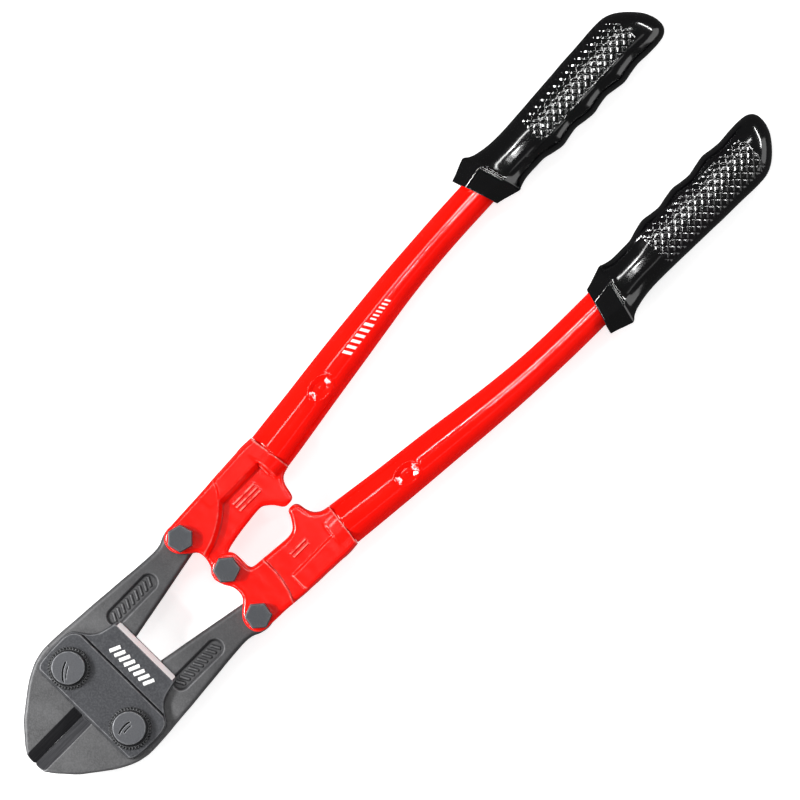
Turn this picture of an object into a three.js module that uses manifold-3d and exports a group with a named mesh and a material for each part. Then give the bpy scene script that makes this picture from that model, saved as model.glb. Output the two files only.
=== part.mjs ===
// Compound-action bolt cutters, 450 mm class, jaws closed, lying on their back.
// Millimetres. +Y runs from the jaws to the grips, +X is to the right seen from above, +Z is the
// thickness. The model is laid out around the point midway between the two jaw pivots, on the tool's
// middle plane, and the outer group moves it so that the origin is the middle of the box's underside.
import * as THREE from 'three';
import * as BufferGeometryUtils from 'three/addons/utils/BufferGeometryUtils.js';
import Module from 'manifold-3d';

const wasm = await Module();
wasm.setup();

// ---- driving dimensions -----------------------------------------------------------------------
const MID_Z = 14;            // middle plane above the table
const SHIFT_X = 1.22;        // box centre to symmetry line of the head
const SHIFT_Y = -184.57;     // box centre to the jaw pivots
const JAW_PIVOT_X = 20.1;    // half the distance between the jaw pivots
const TAIL_PIVOT_X = 25.76;  // half the distance between the jaw tail pivots
const TAIL_PIVOT_Y = 79.9;
const CENTRE_PIVOT_Y = 84.8; // pivot that joins the two handles
const JAW_HALF = 5.0;        // half thickness of the jaw forgings
const SIDE_GAP = 0.3;        // running gap between stacked plates
const STRAP_IN = JAW_HALF + SIDE_GAP;
const STRAP_OUT = 9.7;       // outer face of the strap's bolt panel
const STRAP_TAIL_OUT = 8.3;  // outer face of the strap's thinner tail panel
const FORK_OUT = 9.5;        // outer face of the handle heads' ears
const FORK_IN = JAW_HALF + SIDE_GAP;
const WEB_R = 8.2;           // half thickness of the right head's web
const WEB_L = 5.0;           // half thickness of the left head's web and tongue
const JAW_SHANK_R = 5.0;
const TAIL_SHANK_R = 4.0;
const CENTRE_SHANK_R = 3.0;
const HOLE_GAP = 0.3;
const TONGUE_HOLE_R = 5.25;  // roomy eye in the left tongue
const TONGUE_EYE_R = 7.1;
const EAR_R = 7.3;
const HEAD_TOP = 14.0;
const TUBE_WALL = 1.8;
const BLADE_W = 5.9;         // width of one blade bevel
const BLADE_TOP_Y = -11.4;   // where the bevels end under the strap

// ---- outlines, right-hand side ----------------------------------------------------------------
const JAW = [
  [0.15, -43.05], [5.88, -43.05], [9.40, -40.51], [12.83, -37.60], [18.00, -32.90],
  [21.76, -28.20], [25.38, -23.50], [28.81, -18.80], [31.49, -14.10], [33.60, -9.40],
  [34.78, -4.70], [35.16, 0.00], [34.69, 9.40], [33.84, 18.80], [33.28, 28.20], [32.43, 37.60],
  [31.63, 47.00], [30.93, 54.05], [30.41, 61.10], [30.17, 68.15], [31.02, 71.44],
  [32.20, 74.26], [33.04, 77.55], [33.13, 80.37], [32.43, 83.66], [30.55, 86.24],
  [27.73, 87.89], [24.91, 88.12], [21.62, 87.18], [18.80, 85.07], [17.15, 82.25],
  [16.68, 78.96], [7.99, 32.43], [0.15, 0.00],
];
const STRAP = [
  [0.00, -10.81], [29.14, -10.57], [31.02, -9.63], [32.43, -7.05], [32.76, 0.00],
  [32.66, 9.40], [31.96, 11.75], [30.08, 13.63], [27.73, 15.51], [25.61, 16.92],
  [23.26, 18.80], [21.62, 21.15], [20.68, 23.50], [19.97, 25.85], [19.27, 29.14],
  [18.94, 31.02], [17.86, 31.96],
];
const STRAP_RAISED = [
  [0.00, -10.81], [29.14, -10.57], [31.02, -9.63], [32.43, -7.05], [32.76, 0.00],
  [32.66, 9.40], [31.96, 11.75], [30.08, 13.63], [28.20, 14.80],
];
const R_FORK = [
  [-0.61, 77.55], [4.09, 78.96], [7.85, 80.84], [11.61, 81.31], [14.43, 80.60], [16.78, 78.49],
  [19.13, 75.67], [21.95, 73.32], [25.24, 72.38], [28.53, 72.66], [30.88, 73.79],
  [32.29, 75.44], [32.76, 79.90], [32.99, 84.60], [33.23, 91.65], [33.60, 95.41],
  [29.94, 97.29], [20.54, 100.34], [14.43, 100.81], [8.79, 100.58], [7.85, 94.00],
  [5.03, 93.06], [-0.61, 93.06], [-4.71, 91.38], [-6.86, 87.82], [-7.33, 84.66],
  [-6.25, 80.26], [-3.43, 78.02],
];
const R_WEB = [
  [7.85, 93.06], [8.32, 101.05], [9.26, 110.45], [9.73, 115.15], [9.26, 118.44],
  [6.44, 121.73], [3.15, 123.61], [0.80, 124.55], [0.52, 125.96], [0.52, 128.31],
  [1.74, 130.19], [6.44, 131.13], [9.73, 132.54], [12.08, 135.36], [13.49, 139.35],
  [35.11, 135.59], [35.48, 131.60], [35.20, 124.55], [34.87, 117.50], [34.54, 108.10],
  [33.93, 96.82], [27.59, 94.00], [18.19, 94.00],
];
const L_FORK = [
  [25.99, 72.61], [23.17, 73.08], [20.35, 74.26], [18.47, 76.38], [16.59, 78.96],
  [15.18, 80.60], [13.77, 81.31], [10.95, 82.25], [12.36, 86.95], [14.24, 91.65],
  [17.06, 97.29], [20.35, 101.99], [24.11, 106.22], [29.75, 110.45], [34.45, 111.53],
  [33.98, 103.40], [33.51, 94.00], [33.28, 84.60], [33.51, 79.90], [33.28, 76.14],
  [31.63, 73.79], [28.81, 72.76],
];
const L_WEB = [
  [5.31, 79.36], [10.01, 81.31], [13.77, 81.31], [19.41, 84.60], [28.81, 89.30],
  [33.51, 94.00], [33.98, 103.40], [34.69, 112.80], [35.16, 123.14], [35.39, 131.60],
  [35.16, 135.59], [13.77, 139.35], [13.30, 137.24], [11.89, 134.89], [10.01, 133.48],
  [7.66, 132.07], [2.96, 131.13], [1.08, 129.72], [0.89, 127.84], [0.99, 125.02],
  [1.21, 124.55], [4.37, 122.20], [8.13, 118.44], [9.07, 116.09], [8.60, 110.45],
  [7.66, 101.05], [6.25, 93.06], [4.60, 90.20],
];
// tube stations: [y, centre distance from the symmetry line, half width, half thickness]
const TUBE_R = [
  [138.2, 24.06, 11.00, 9.2], [150.4, 25.57, 10.80, 9.1], [164.5, 27.31, 10.45, 8.9],
  [178.6, 28.90, 10.20, 8.8], [197.4, 30.97, 9.80, 8.7], [216.2, 33.23, 9.25, 8.6],
  [235.0, 35.23, 8.70, 8.4], [253.8, 36.68, 8.30, 8.2], [272.6, 37.46, 8.20, 8.2],
  [287.6, 37.70, 8.20, 8.2], [330.0, 37.50, 8.20, 8.2], [398.0, 36.90, 8.20, 8.2],
];
const TUBE_L = [
  [138.2, 24.26, 11.00, 9.2], [150.4, 25.80, 10.80, 9.1], [164.5, 27.64, 10.45, 8.9],
  [178.6, 29.56, 10.20, 8.8], [197.4, 31.98, 9.80, 8.7], [216.2, 34.29, 9.25, 8.6],
  [235.0, 36.52, 8.70, 8.4], [253.8, 38.16, 8.30, 8.2], [272.6, 39.34, 8.20, 8.2],
  [287.6, 39.95, 8.20, 8.2], [330.0, 41.20, 8.20, 8.2], [398.0, 42.95, 8.20, 8.2],
];
// right grip rings: [centre x, centre y, tilt in the XY plane in degrees, half width, half thickness]
const GRIP_RINGS = [
  [39.34, 293.98, -16.7, 12.27, 11.28],
  [39.46, 298.69, -14.5, 14.08, 12.92],
  [39.46, 305.26, -13.5, 16.07, 13.96],
  [38.40, 309.02, -12.4, 14.20, 12.46],
  [38.28, 313.25, -9.1, 12.38, 11.56],
  [37.81, 321.01, -4.7, 11.64, 11.56],
  [37.65, 327.59, 0.0, 11.57, 11.84],
  [36.82, 334.64, 0.0, 12.53, 12.50],
  [36.54, 338.40, 0.0, 12.95, 12.78],
  [37.29, 348.27, 0.0, 12.53, 12.50],
  [36.64, 359.55, 0.0, 13.51, 12.97],
  [37.39, 368.95, 0.0, 13.09, 12.69],
  [36.59, 379.76, 0.0, 14.17, 13.16],
  [37.36, 389.86, -1.0, 13.63, 12.97],
  [36.71, 396.44, -3.0, 13.60, 12.78],
  [35.46, 402.55, -7.6, 12.45, 11.98],
  [34.17, 406.55, -10.3, 10.51, 10.34],
  [32.99, 409.84, -11.7, 6.96, 7.28],
  [32.29, 411.72, -9.5, 2.86, 3.29],
];
const LEFT_GRIP_SHIFT = 2.4;   // the left grip stands a little further out
const LEFT_GRIP_LEAN = 0.0360; // and leans outwards by this slope

// ---- helpers ----------------------------------------------------------------------------------
function toSolid(geometry) {
  const g = geometry.index ? geometry.clone() : BufferGeometryUtils.mergeVertices(geometry.clone());
  g.deleteAttribute('normal');
  g.deleteAttribute('uv');
  const m = BufferGeometryUtils.mergeVertices(g, 1e-4);
  const pos = m.attributes.position.array;
  const src = m.index.array;
  const tri = [];
  for (let i = 0; i < src.length; i += 3) {
    const a = src[i], b = src[i + 1], c = src[i + 2];
    if (a !== b && b !== c && a !== c) tri.push(a, b, c);
  }
  let vol = 0;
  for (let i = 0; i < tri.length; i += 3) {
    const [a, b, c] = [tri[i] * 3, tri[i + 1] * 3, tri[i + 2] * 3];
    vol += pos[a] * (pos[b + 1] * pos[c + 2] - pos[b + 2] * pos[c + 1])
      - pos[a + 1] * (pos[b] * pos[c + 2] - pos[b + 2] * pos[c])
      + pos[a + 2] * (pos[b] * pos[c + 1] - pos[b + 1] * pos[c]);
  }
  if (vol < 0) for (let i = 0; i < tri.length; i += 3) [tri[i + 1], tri[i + 2]] = [tri[i + 2], tri[i + 1]];
  return new wasm.Manifold(new wasm.Mesh({
    numProp: 3, vertProperties: new Float32Array(pos), triVerts: new Uint32Array(tri),
  }));
}

const flip = (pts) => pts.map(([x, y]) => [-x, y]);
const both = (pts) => pts.concat(flip(pts).reverse().filter(([x]) => Math.abs(x) > 1e-6));

function plate(pts, z0, z1) {
  const shape = new THREE.Shape(pts.map(([x, y]) => new THREE.Vector2(x, y)));
  const g = new THREE.ExtrudeGeometry(shape, { depth: z1 - z0, bevelEnabled: false, steps: 1 });
  g.translate(0, 0, z0);
  return toSolid(g);
}

function disc(x, y, r, z0, z1, n = 32, r2 = r, turn = 0) {
  const g = new THREE.CylinderGeometry(r2, r, z1 - z0, n, 1);
  g.rotateX(Math.PI / 2);
  g.rotateZ(turn);
  g.translate(x, y, (z0 + z1) / 2);
  return toSolid(g);
}

function block(x0, x1, y0, y1, z0, z1) {
  const g = new THREE.BoxGeometry(x1 - x0, y1 - y0, z1 - z0);
  g.translate((x0 + x1) / 2, (y0 + y1) / 2, (z0 + z1) / 2);
  return toSolid(g);
}

// hexagon with flats across f, one flat facing +X when turn is 0
function hex(x, y, f, z0, z1, turn = 0) {
  return disc(x, y, f / Math.sqrt(3), z0, z1, 6, f / Math.sqrt(3), Math.PI / 6 + Math.PI / 6 + turn);
}

// round-ended solid of the given rings; each ring is [cx, cy, tilt, half width, half thickness]
function rings(list, seg, power = 1) {
  const n = list.length - 1;
  const g = new THREE.CylinderGeometry(1, 1, 1, seg, n);
  const p = g.attributes.position;
  for (let i = 0; i < p.count; i++) {
    const k = Math.round((0.5 - p.getY(i)) * n);
    const [cx, cy, tilt, a, b] = list[k];
    const c = p.getX(i), s = p.getZ(i);
    const r = Math.hypot(c, s);
    let u = 0, w = 0;
    if (r > 1e-6) {
      u = Math.sign(c) * Math.pow(Math.abs(c) / r, power);
      w = Math.sign(s) * Math.pow(Math.abs(s) / r, power);
    }
    const t = tilt * Math.PI / 180;
    p.setXYZ(i, cx + u * a * Math.cos(t), cy + u * a * Math.sin(t), w * b);
  }
  return toSolid(g);
}

const mirrorRings = (list) => list.map(([cx, cy, t, a, b]) => [-cx, cy, -t, a, b]);

function tubeRings(stations, grow, y0, y1) {
  const at = (y) => {
    for (let i = 1; i < stations.length; i++) {
      if (y <= stations[i][0] || i === stations.length - 1) {
        const [p, q] = [stations[i - 1], stations[i]];
        const f = (y - p[0]) / (q[0] - p[0]);
        return p.map((v, j) => v + (q[j] - v) * f);
      }
    }
    return stations[0];
  };
  const ys = [y0, ...stations.map((s) => s[0]).filter((y) => y > y0 + 1 && y < y1 - 1), y1];
  return ys.map((y) => {
    const [, cx, a, b] = at(y);
    const [, xa] = at(y - 4), [, xb] = at(y + 4);
    const tilt = -Math.atan((xb - xa) / 8);
    return [cx, y, tilt * 180 / Math.PI, (a + grow) * Math.cos(tilt), b + grow];
  });
}

function toMesh(name, solid, material) {
  const out = solid.getMesh();
  const g = new THREE.BufferGeometry();
  const np = out.numProp;
  const verts = new Float32Array(out.vertProperties.length / np * 3);
  for (let i = 0, j = 0; i < out.vertProperties.length; i += np) {
    verts[j++] = out.vertProperties[i];
    verts[j++] = out.vertProperties[i + 1];
    verts[j++] = out.vertProperties[i + 2];
  }
  g.setAttribute('position', new THREE.BufferAttribute(verts, 3));
  g.setIndex(new THREE.BufferAttribute(new Uint32Array(out.triVerts), 1));
  g.computeVertexNormals();
  const mesh = new THREE.Mesh(g, material);
  mesh.name = name;
  return mesh;
}

// ---- materials --------------------------------------------------------------------------------
const red = new THREE.MeshStandardMaterial({ color: 0xe3170f, roughness: 0.32, metalness: 0.0 });
const forged = new THREE.MeshStandardMaterial({ color: 0x66676a, roughness: 0.62, metalness: 0.7 });
const strapSteel = new THREE.MeshStandardMaterial({ color: 0x545558, roughness: 0.55, metalness: 0.7 });
const boltSteel = new THREE.MeshStandardMaterial({ color: 0x4f5a5c, roughness: 0.45, metalness: 0.8 });
const vinyl = new THREE.MeshStandardMaterial({ color: 0x0b0b0c, roughness: 0.28, metalness: 0.0 });

// ---- jaws -------------------------------------------------------------------------------------
function jaw(side) {
  let s = plate(JAW, -JAW_HALF, JAW_HALF);
  // blade bevels from both faces down to the cutting edge
  const bevel = (sz) => {
    const shape = new THREE.Shape([
      new THREE.Vector2(-1.5, 0.12), new THREE.Vector2(0.15, 0.12),
      new THREE.Vector2(BLADE_W, JAW_HALF), new THREE.Vector2(BLADE_W + 0.6, JAW_HALF + 0.5),
      new THREE.Vector2(-1.5, JAW_HALF + 0.5),
    ]);
    const g = new THREE.ExtrudeGeometry(shape, { depth: BLADE_TOP_Y + 44.5, bevelEnabled: false });
    g.rotateX(Math.PI / 2);
    g.translate(0, BLADE_TOP_Y, 0);
    if (sz < 0) g.scale(1, 1, -1);
    return toSolid(g);
  };
  s = s.subtract(bevel(1)).subtract(bevel(-1));
  // long pocket with round ends in both faces of the arm
  for (const sz of [1, -1]) {
    const pocket = [];
    for (let i = 0; i <= 8; i++) {
      const t = Math.PI + Math.PI * i / 8;
      pocket.push([21.6 + 4.3 * Math.cos(t), 32.6 + 4.3 * Math.sin(t)]);
    }
    for (let i = 0; i <= 8; i++) {
      const t = Math.PI * i / 8;
      pocket.push([21.6 + 4.3 * Math.cos(t), 54.4 + 4.3 * Math.sin(t)]);
    }
    s = s.subtract(sz > 0 ? plate(pocket, 4.2, 6) : plate(pocket, -6, -4.2));
  }
  s = s.subtract(disc(JAW_PIVOT_X, 0, JAW_SHANK_R + HOLE_GAP, -6, 6, 32));
  s = s.subtract(disc(TAIL_PIVOT_X, TAIL_PIVOT_Y, TAIL_SHANK_R + HOLE_GAP, -6, 6, 28));
  return side > 0 ? s : s.mirror([1, 0, 0]);
}

// ---- straps that carry both jaw pivots --------------------------------------------------------
function strap(sz) {
  let s = plate(both(STRAP), STRAP_IN, STRAP_TAIL_OUT).add(plate(both(STRAP_RAISED), STRAP_IN, STRAP_OUT));
  for (const sx of [1, -1]) s = s.subtract(disc(sx * JAW_PIVOT_X, 0, JAW_SHANK_R + HOLE_GAP, 4, 11, 32));
  return sz > 0 ? s : s.mirror([0, 0, 1]);
}

// ---- fasteners --------------------------------------------------------------------------------
function jawBolt(side) {
  const x = side * JAW_PIVOT_X;
  const teeth = 36;
  const star = [];
  for (let i = 0; i < teeth * 2; i++) {
    const r = i % 2 ? 9.85 : 9.15;
    const t = Math.PI * i / teeth;
    star.push([x + r * Math.cos(t), r * Math.sin(t)]);
  }
  return plate(star, STRAP_OUT + 0.25, 11.9)
    .add(disc(x, 0, 9.1, 11.9, 12.7, 40, 8.2))
    .add(disc(x, 0, 7.9, 12.7, 13.7, 40, 7.5))
    .add(disc(x, 0, JAW_SHANK_R, -13.6, STRAP_OUT + 0.5, 32))
    .add(disc(x, 0, 4.4, -HEAD_TOP, -13.6, 32, JAW_SHANK_R));
}
const washer = (x, y, rIn, rOut, z0, z1) => disc(x, y, rOut, z0, z1, 32).subtract(disc(x, y, rIn, z0 - 1, z1 + 1, 32));
const nut = (x, y, f, rIn, z0, z1, turn) => hex(x, y, f, z0, z1, turn).subtract(disc(x, y, rIn, z0 - 1, z1 + 1, 32));

function hexBolt(x, y, shank, turn) {
  return hex(x, y, 11.8, FORK_OUT + 0.25, 13.6, turn)
    .add(disc(x, y, 5.7, 13.6, HEAD_TOP, 30, 5.3))
    .add(disc(x, y, shank, -13.6, FORK_OUT + 0.5, 28))
    .add(disc(x, y, shank - 0.5, -HEAD_TOP, -13.6, 28, shank));
}

// ---- handle heads -----------------------------------------------------------------------------
function socketAndTang(stations, side) {
  // half-round bar that grows out of the web and ends in the tang inside the tube
  const sh = tubeRings(stations, -0.1, 138.2, 150)[0];
  const bar = rings([
    [sh[0] + 3.4, 104, -4, 4.6, 6.0], [sh[0] + 4.2, 112, -5, 5.4, 8.4],
    [sh[0] + 3.0, 124, -6, 7.6, 9.0], [sh[0] + 0.8, 133, -7.5, 10.2, 9.2],
    [sh[0] - 0.12, 137.7, sh[2], 11.1, 9.35],
  ], 24);
  const tang = rings(tubeRings(stations, -TUBE_WALL - 0.3, 130, 186), 24);
  const s = bar.add(tang);
  return side > 0 ? s : s.mirror([1, 0, 0]);
}

function rightHead() {
  let s = plate(R_FORK, -FORK_OUT, FORK_OUT)
    .add(plate(R_WEB, -WEB_R, WEB_R))
    .add(socketAndTang(TUBE_R, 1));
  // slot for the jaw tail
  s = s.subtract(disc(TAIL_PIVOT_X, TAIL_PIVOT_Y, 9.45, -FORK_IN, FORK_IN, 48));
  s = s.subtract(block(15.9, 40, 60, TAIL_PIVOT_Y, -FORK_IN, FORK_IN));
  // slot for the other handle's tongue
  s = s.subtract(disc(0, CENTRE_PIVOT_Y, 9.7, -FORK_IN, FORK_IN, 48));
  s = s.subtract(block(-12, 2.2, 60, 100, -FORK_IN, FORK_IN));
  s = s.subtract(disc(TAIL_PIVOT_X, TAIL_PIVOT_Y, TAIL_SHANK_R + HOLE_GAP, -12, 12, 28));
  s = s.subtract(disc(0, CENTRE_PIVOT_Y, CENTRE_SHANK_R + HOLE_GAP, -12, 12, 28));
  return s;
}

function leftHead() {
  let s = plate(flip(L_FORK), -FORK_OUT, FORK_OUT)
    .add(plate(flip(L_WEB), -WEB_L, WEB_L))
    .add(disc(0, CENTRE_PIVOT_Y, TONGUE_EYE_R, -WEB_L, WEB_L, 40))
    .add(socketAndTang(TUBE_L, -1));
  s = s.subtract(disc(-TAIL_PIVOT_X, TAIL_PIVOT_Y, 9.45, -FORK_IN, FORK_IN, 48));
  s = s.subtract(block(-40, -15.9, 60, TAIL_PIVOT_Y, -FORK_IN, FORK_IN));
  s = s.subtract(disc(-TAIL_PIVOT_X, TAIL_PIVOT_Y, TAIL_SHANK_R + HOLE_GAP, -12, 12, 28));
  s = s.subtract(disc(0, CENTRE_PIVOT_Y, TONGUE_HOLE_R, -12, 12, 32));
  return s;
}

// ---- tubes and grips --------------------------------------------------------------------------
function tube(stations, side) {
  let s = rings(tubeRings(stations, 0, 138.2, 398), 28)
    .subtract(rings(tubeRings(stations, -TUBE_WALL, 130, 404), 28));
  // square mouth and staked dimple over the tang
  const [, cx] = stations[3];
  const g = new THREE.SphereGeometry(9, 16, 12);
  g.translate(cx, 176.3, stations[3][3] + 8.1);
  s = s.subtract(toSolid(g));
  return side > 0 ? s : s.mirror([1, 0, 0]);
}

function grip(side) {
  const list = GRIP_RINGS.map(([cx, cy, t, a, b]) => {
    const dx = side > 0 ? 0 : LEFT_GRIP_SHIFT + (cy - 300) * LEFT_GRIP_LEAN;
    return [cx + dx, cy - (side > 0 ? 0 : 1.2), t + (side > 0 ? 0 : -2), a, b];
  });
  let s = rings(list, 28, 0.92);
  s = s.subtract(rings(tubeRings(side > 0 ? TUBE_R : TUBE_L, 0.3, 285, 399), 24));
  return side > 0 ? s : s.mirror([1, 0, 0]);
}

// ---- assembly ---------------------------------------------------------------------------------
const group = new THREE.Group();
group.name = 'bolt_cutters';
group.position.set(SHIFT_X, SHIFT_Y, MID_Z);

const head = new THREE.Group();
const jaws = new THREE.Group();
const handles = new THREE.Group();
group.add(head, jaws, handles);

jaws.add(toMesh('jaw_right', jaw(1), forged), toMesh('jaw_left', jaw(-1), forged));
head.add(toMesh('strap_front', strap(1), strapSteel), toMesh('strap_back', strap(-1), strapSteel));
for (const [tag, sx] of [['right', 1], ['left', -1]]) {
  const jx = sx * JAW_PIVOT_X, tx = sx * TAIL_PIVOT_X;
  head.add(toMesh(`jaw_bolt_${tag}`, jawBolt(sx), boltSteel));
  head.add(toMesh(`jaw_washer_${tag}`, washer(jx, 0, JAW_SHANK_R + HOLE_GAP, 9.0, -10.9, -9.9), boltSteel));
  head.add(toMesh(`jaw_nut_${tag}`, nut(jx, 0, 15, JAW_SHANK_R + HOLE_GAP, -13.8, -11.1, 0.2 * sx), boltSteel));
  handles.add(toMesh(`tail_bolt_${tag}`, hexBolt(tx, TAIL_PIVOT_Y, TAIL_SHANK_R, 0.1 * sx), boltSteel));
  handles.add(toMesh(`tail_washer_${tag}`, washer(tx, TAIL_PIVOT_Y, TAIL_SHANK_R + HOLE_GAP, 6.6, -10.6, -9.75), boltSteel));
  handles.add(toMesh(`tail_nut_${tag}`, nut(tx, TAIL_PIVOT_Y, 11.8, TAIL_SHANK_R + HOLE_GAP, -13.7, -10.85, 0.3 * sx), boltSteel));
}
handles.add(toMesh('centre_bolt', hexBolt(0, CENTRE_PIVOT_Y, CENTRE_SHANK_R, 0), boltSteel));
handles.add(toMesh('centre_washer', washer(0, CENTRE_PIVOT_Y, CENTRE_SHANK_R + HOLE_GAP, 6.6, -10.6, -9.75), boltSteel));
handles.add(toMesh('centre_nut', nut(0, CENTRE_PIVOT_Y, 11.8, CENTRE_SHANK_R + HOLE_GAP, -13.7, -10.85, 0.15), boltSteel));
handles.add(toMesh('handle_head_right', rightHead(), red));
handles.add(toMesh('handle_head_left', leftHead(), red));
handles.add(toMesh('handle_tube_right', tube(TUBE_R, 1), red));
handles.add(toMesh('handle_tube_left', tube(TUBE_L, -1), red));
handles.add(toMesh('grip_right', grip(1), vinyl));
handles.add(toMesh('grip_left', grip(-1), vinyl));

export default group;
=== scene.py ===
"""Bolt cutters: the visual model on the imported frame, its materials, light, floor and camera."""
import math

import bmesh
import bpy
import numpy as np
import openvdb
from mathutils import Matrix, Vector


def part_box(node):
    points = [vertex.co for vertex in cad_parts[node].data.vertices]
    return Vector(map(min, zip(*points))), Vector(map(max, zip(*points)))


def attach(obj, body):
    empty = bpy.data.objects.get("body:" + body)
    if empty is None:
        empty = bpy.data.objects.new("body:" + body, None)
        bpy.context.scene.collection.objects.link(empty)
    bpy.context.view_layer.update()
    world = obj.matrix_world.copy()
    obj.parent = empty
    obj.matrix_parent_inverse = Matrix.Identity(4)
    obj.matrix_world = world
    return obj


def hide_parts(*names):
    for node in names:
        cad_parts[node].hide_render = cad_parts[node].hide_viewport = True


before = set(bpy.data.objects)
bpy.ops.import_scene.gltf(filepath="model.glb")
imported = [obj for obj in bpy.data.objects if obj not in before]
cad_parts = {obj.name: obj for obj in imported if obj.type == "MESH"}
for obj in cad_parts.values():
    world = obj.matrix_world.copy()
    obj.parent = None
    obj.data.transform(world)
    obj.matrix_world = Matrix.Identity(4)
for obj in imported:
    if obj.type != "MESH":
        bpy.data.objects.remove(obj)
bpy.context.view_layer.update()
F = np.float32

# ---- where the tool frame lies: midway between the jaw bolts, on the jaws' middle plane ---------
_bl, _br, _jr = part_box("jaw_bolt_left"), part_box("jaw_bolt_right"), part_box("jaw_right")
OX = float((_bl[0].x + _bl[1].x + _br[0].x + _br[1].x) / 4) * 1000
OY = float((_bl[0].y + _bl[1].y + _br[0].y + _br[1].y) / 4) * 1000
OZ = float((_jr[0].z + _jr[1].z) / 2) * 1000
JX = float((_br[0].x + _br[1].x) / 2) * 1000 - OX
_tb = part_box("tail_bolt_right")
TX = float((_tb[0].x + _tb[1].x) / 2) * 1000 - OX
TY = float((_tb[0].y + _tb[1].y) / 2) * 1000 - OY
_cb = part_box("centre_bolt")
CY = float((_cb[0].y + _cb[1].y) / 2) * 1000 - OY
FLOOR = -OZ  # floor height in the tool frame, mm


# ---- small field toolkit, millimetres ------------------------------------------------------------
def smax(a, b, k):
    h = np.maximum(k - np.abs(a - b), 0) / k
    return np.maximum(a, b) + h * h * (k * 0.25)


def smin(a, b, k):
    return -smax(-a, -b, k)


def curve(pts, n=5, closed=False):
    """Points on a smooth curve through pts."""
    p = np.asarray(pts, float)
    m = len(p)
    out = []
    rng = range(m) if closed else range(m - 1)
    for i in rng:
        p0 = p[(i - 1) % m] if (closed or i > 0) else 2 * p[0] - p[1]
        p1, p2 = p[i], p[(i + 1) % m]
        p3 = p[(i + 2) % m] if (closed or i + 2 < m) else 2 * p[-1] - p[-2]
        for j in range(n):
            t = j / n
            out.append(
                0.5 * ((2 * p1) + (-p0 + p2) * t + (2 * p0 - 5 * p1 + 4 * p2 - p3) * t * t + (-p0 + 3 * p1 - 3 * p2 + p3) * t**3)
            )
    if not closed:
        out.append(p[-1])
    return np.array(out)


def poly(pts, X, Y):
    """Signed distance to a closed outline, negative inside, on the grid X (n,1), Y (1,m)."""
    p = np.asarray(pts, F)
    d = np.full(np.broadcast(X, Y).shape, 1e9, F)
    ins = np.zeros(d.shape, bool)
    for (ax, ay), (bx, by) in zip(p, np.roll(p, -1, 0)):
        ex, ey = bx - ax, by - ay
        ll = ex * ex + ey * ey
        if ll < 1e-9:
            continue
        wx, wy = X - ax, Y - ay
        t = np.clip((wx * ex + wy * ey) / ll, 0, 1)
        qx, qy = wx - ex * t, wy - ey * t
        np.minimum(d, qx * qx + qy * qy, out=d)
        if abs(ey) > 1e-9:
            ins ^= ((ay <= Y) != (by <= Y)) & (X < ax + (Y - ay) * (ex / ey))
    return np.where(ins, -1, 1).astype(F) * np.sqrt(d)


def capsule(X, Y, a, b, r):
    ex, ey = b[0] - a[0], b[1] - a[1]
    t = np.clip(((X - a[0]) * ex + (Y - a[1]) * ey) / (ex * ex + ey * ey), 0, 1)
    return np.hypot(X - a[0] - ex * t, Y - a[1] - ey * t) - r


def rbox(X, Y, cx, cy, hx, hy, r, ang=0.0):
    c, s = math.cos(ang), math.sin(ang)
    u, v = (X - cx) * c + (Y - cy) * s, -(X - cx) * s + (Y - cy) * c
    qx, qy = np.abs(u) - hx + r, np.abs(v) - hy + r
    return np.hypot(np.maximum(qx, 0), np.maximum(qy, 0)) + np.minimum(np.maximum(qx, qy), 0) - r


def hexd(X, Y, f, turn=0.0):
    d = None
    for k in range(3):
        a = turn + math.pi / 3 * k
        e = np.abs(X * math.cos(a) + Y * math.sin(a)) - f / 2
        d = e if d is None else np.maximum(d, e)
    return d


def lump(X, Y, Z, seed, size, amp):
    """A smooth, repeatable unevenness."""
    r = np.random.default_rng(seed)
    out = 0
    for _ in range(6):
        k = r.normal(size=3)
        k *= 2 * math.pi / size / np.linalg.norm(k) * r.uniform(0.7, 1.4)
        out = out + np.sin(X * F(k[0]) + Y * F(k[1]) + Z * F(k[2]) + F(r.uniform(0, 6.28)))
    return out * F(amp / 6)


def _tri(arr, q):
    """Trilinear value of arr at grid coordinates q."""
    n = np.array(arr.shape) - 2
    i = np.clip(np.floor(q).astype(np.int32), 0, n)
    f = (q - i).astype(F)
    x, y, z = i.T
    fx, fy, fz = f.T
    g = lambda a, b, c: arr[x + a, y + b, z + c]
    return (
        ((g(0, 0, 0) * (1 - fx) + g(1, 0, 0) * fx) * (1 - fy) + (g(0, 1, 0) * (1 - fx) + g(1, 1, 0) * fx) * fy) * (1 - fz)
        + ((g(0, 0, 1) * (1 - fx) + g(1, 0, 1) * fx) * (1 - fy) + (g(0, 1, 1) * (1 - fx) + g(1, 1, 1) * fx) * fy) * fz
    )


def new_object(name, verts_mm, faces, normals=None, turn=None, body=None, mats=(), replaces=(), slot=None, smooth=True):
    me = bpy.data.meshes.new(name)
    v = (np.asarray(verts_mm, float) + (OX, OY, OZ)) / 1000
    me.from_pydata(v.tolist(), [], faces if isinstance(faces, list) else faces.tolist())
    me.validate()
    me.update()
    if smooth:
        me.polygons.foreach_set("use_smooth", np.ones(len(me.polygons), bool))
    if normals is not None and len(me.vertices) == len(normals):
        me.normals_split_custom_set_from_vertices(np.asarray(normals, float).tolist())
    if turn is not None and len(me.vertices) == len(turn):
        me.attributes.new("turn", "FLOAT", "POINT").data.foreach_set("value", np.asarray(turn, F))
    ob = bpy.data.objects.new(name, me)
    bpy.context.scene.collection.objects.link(ob)
    for m in mats:
        me.materials.append(m)
    if body:
        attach(ob, body)
    if replaces:
        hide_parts(*replaces)
    return ob


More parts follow.
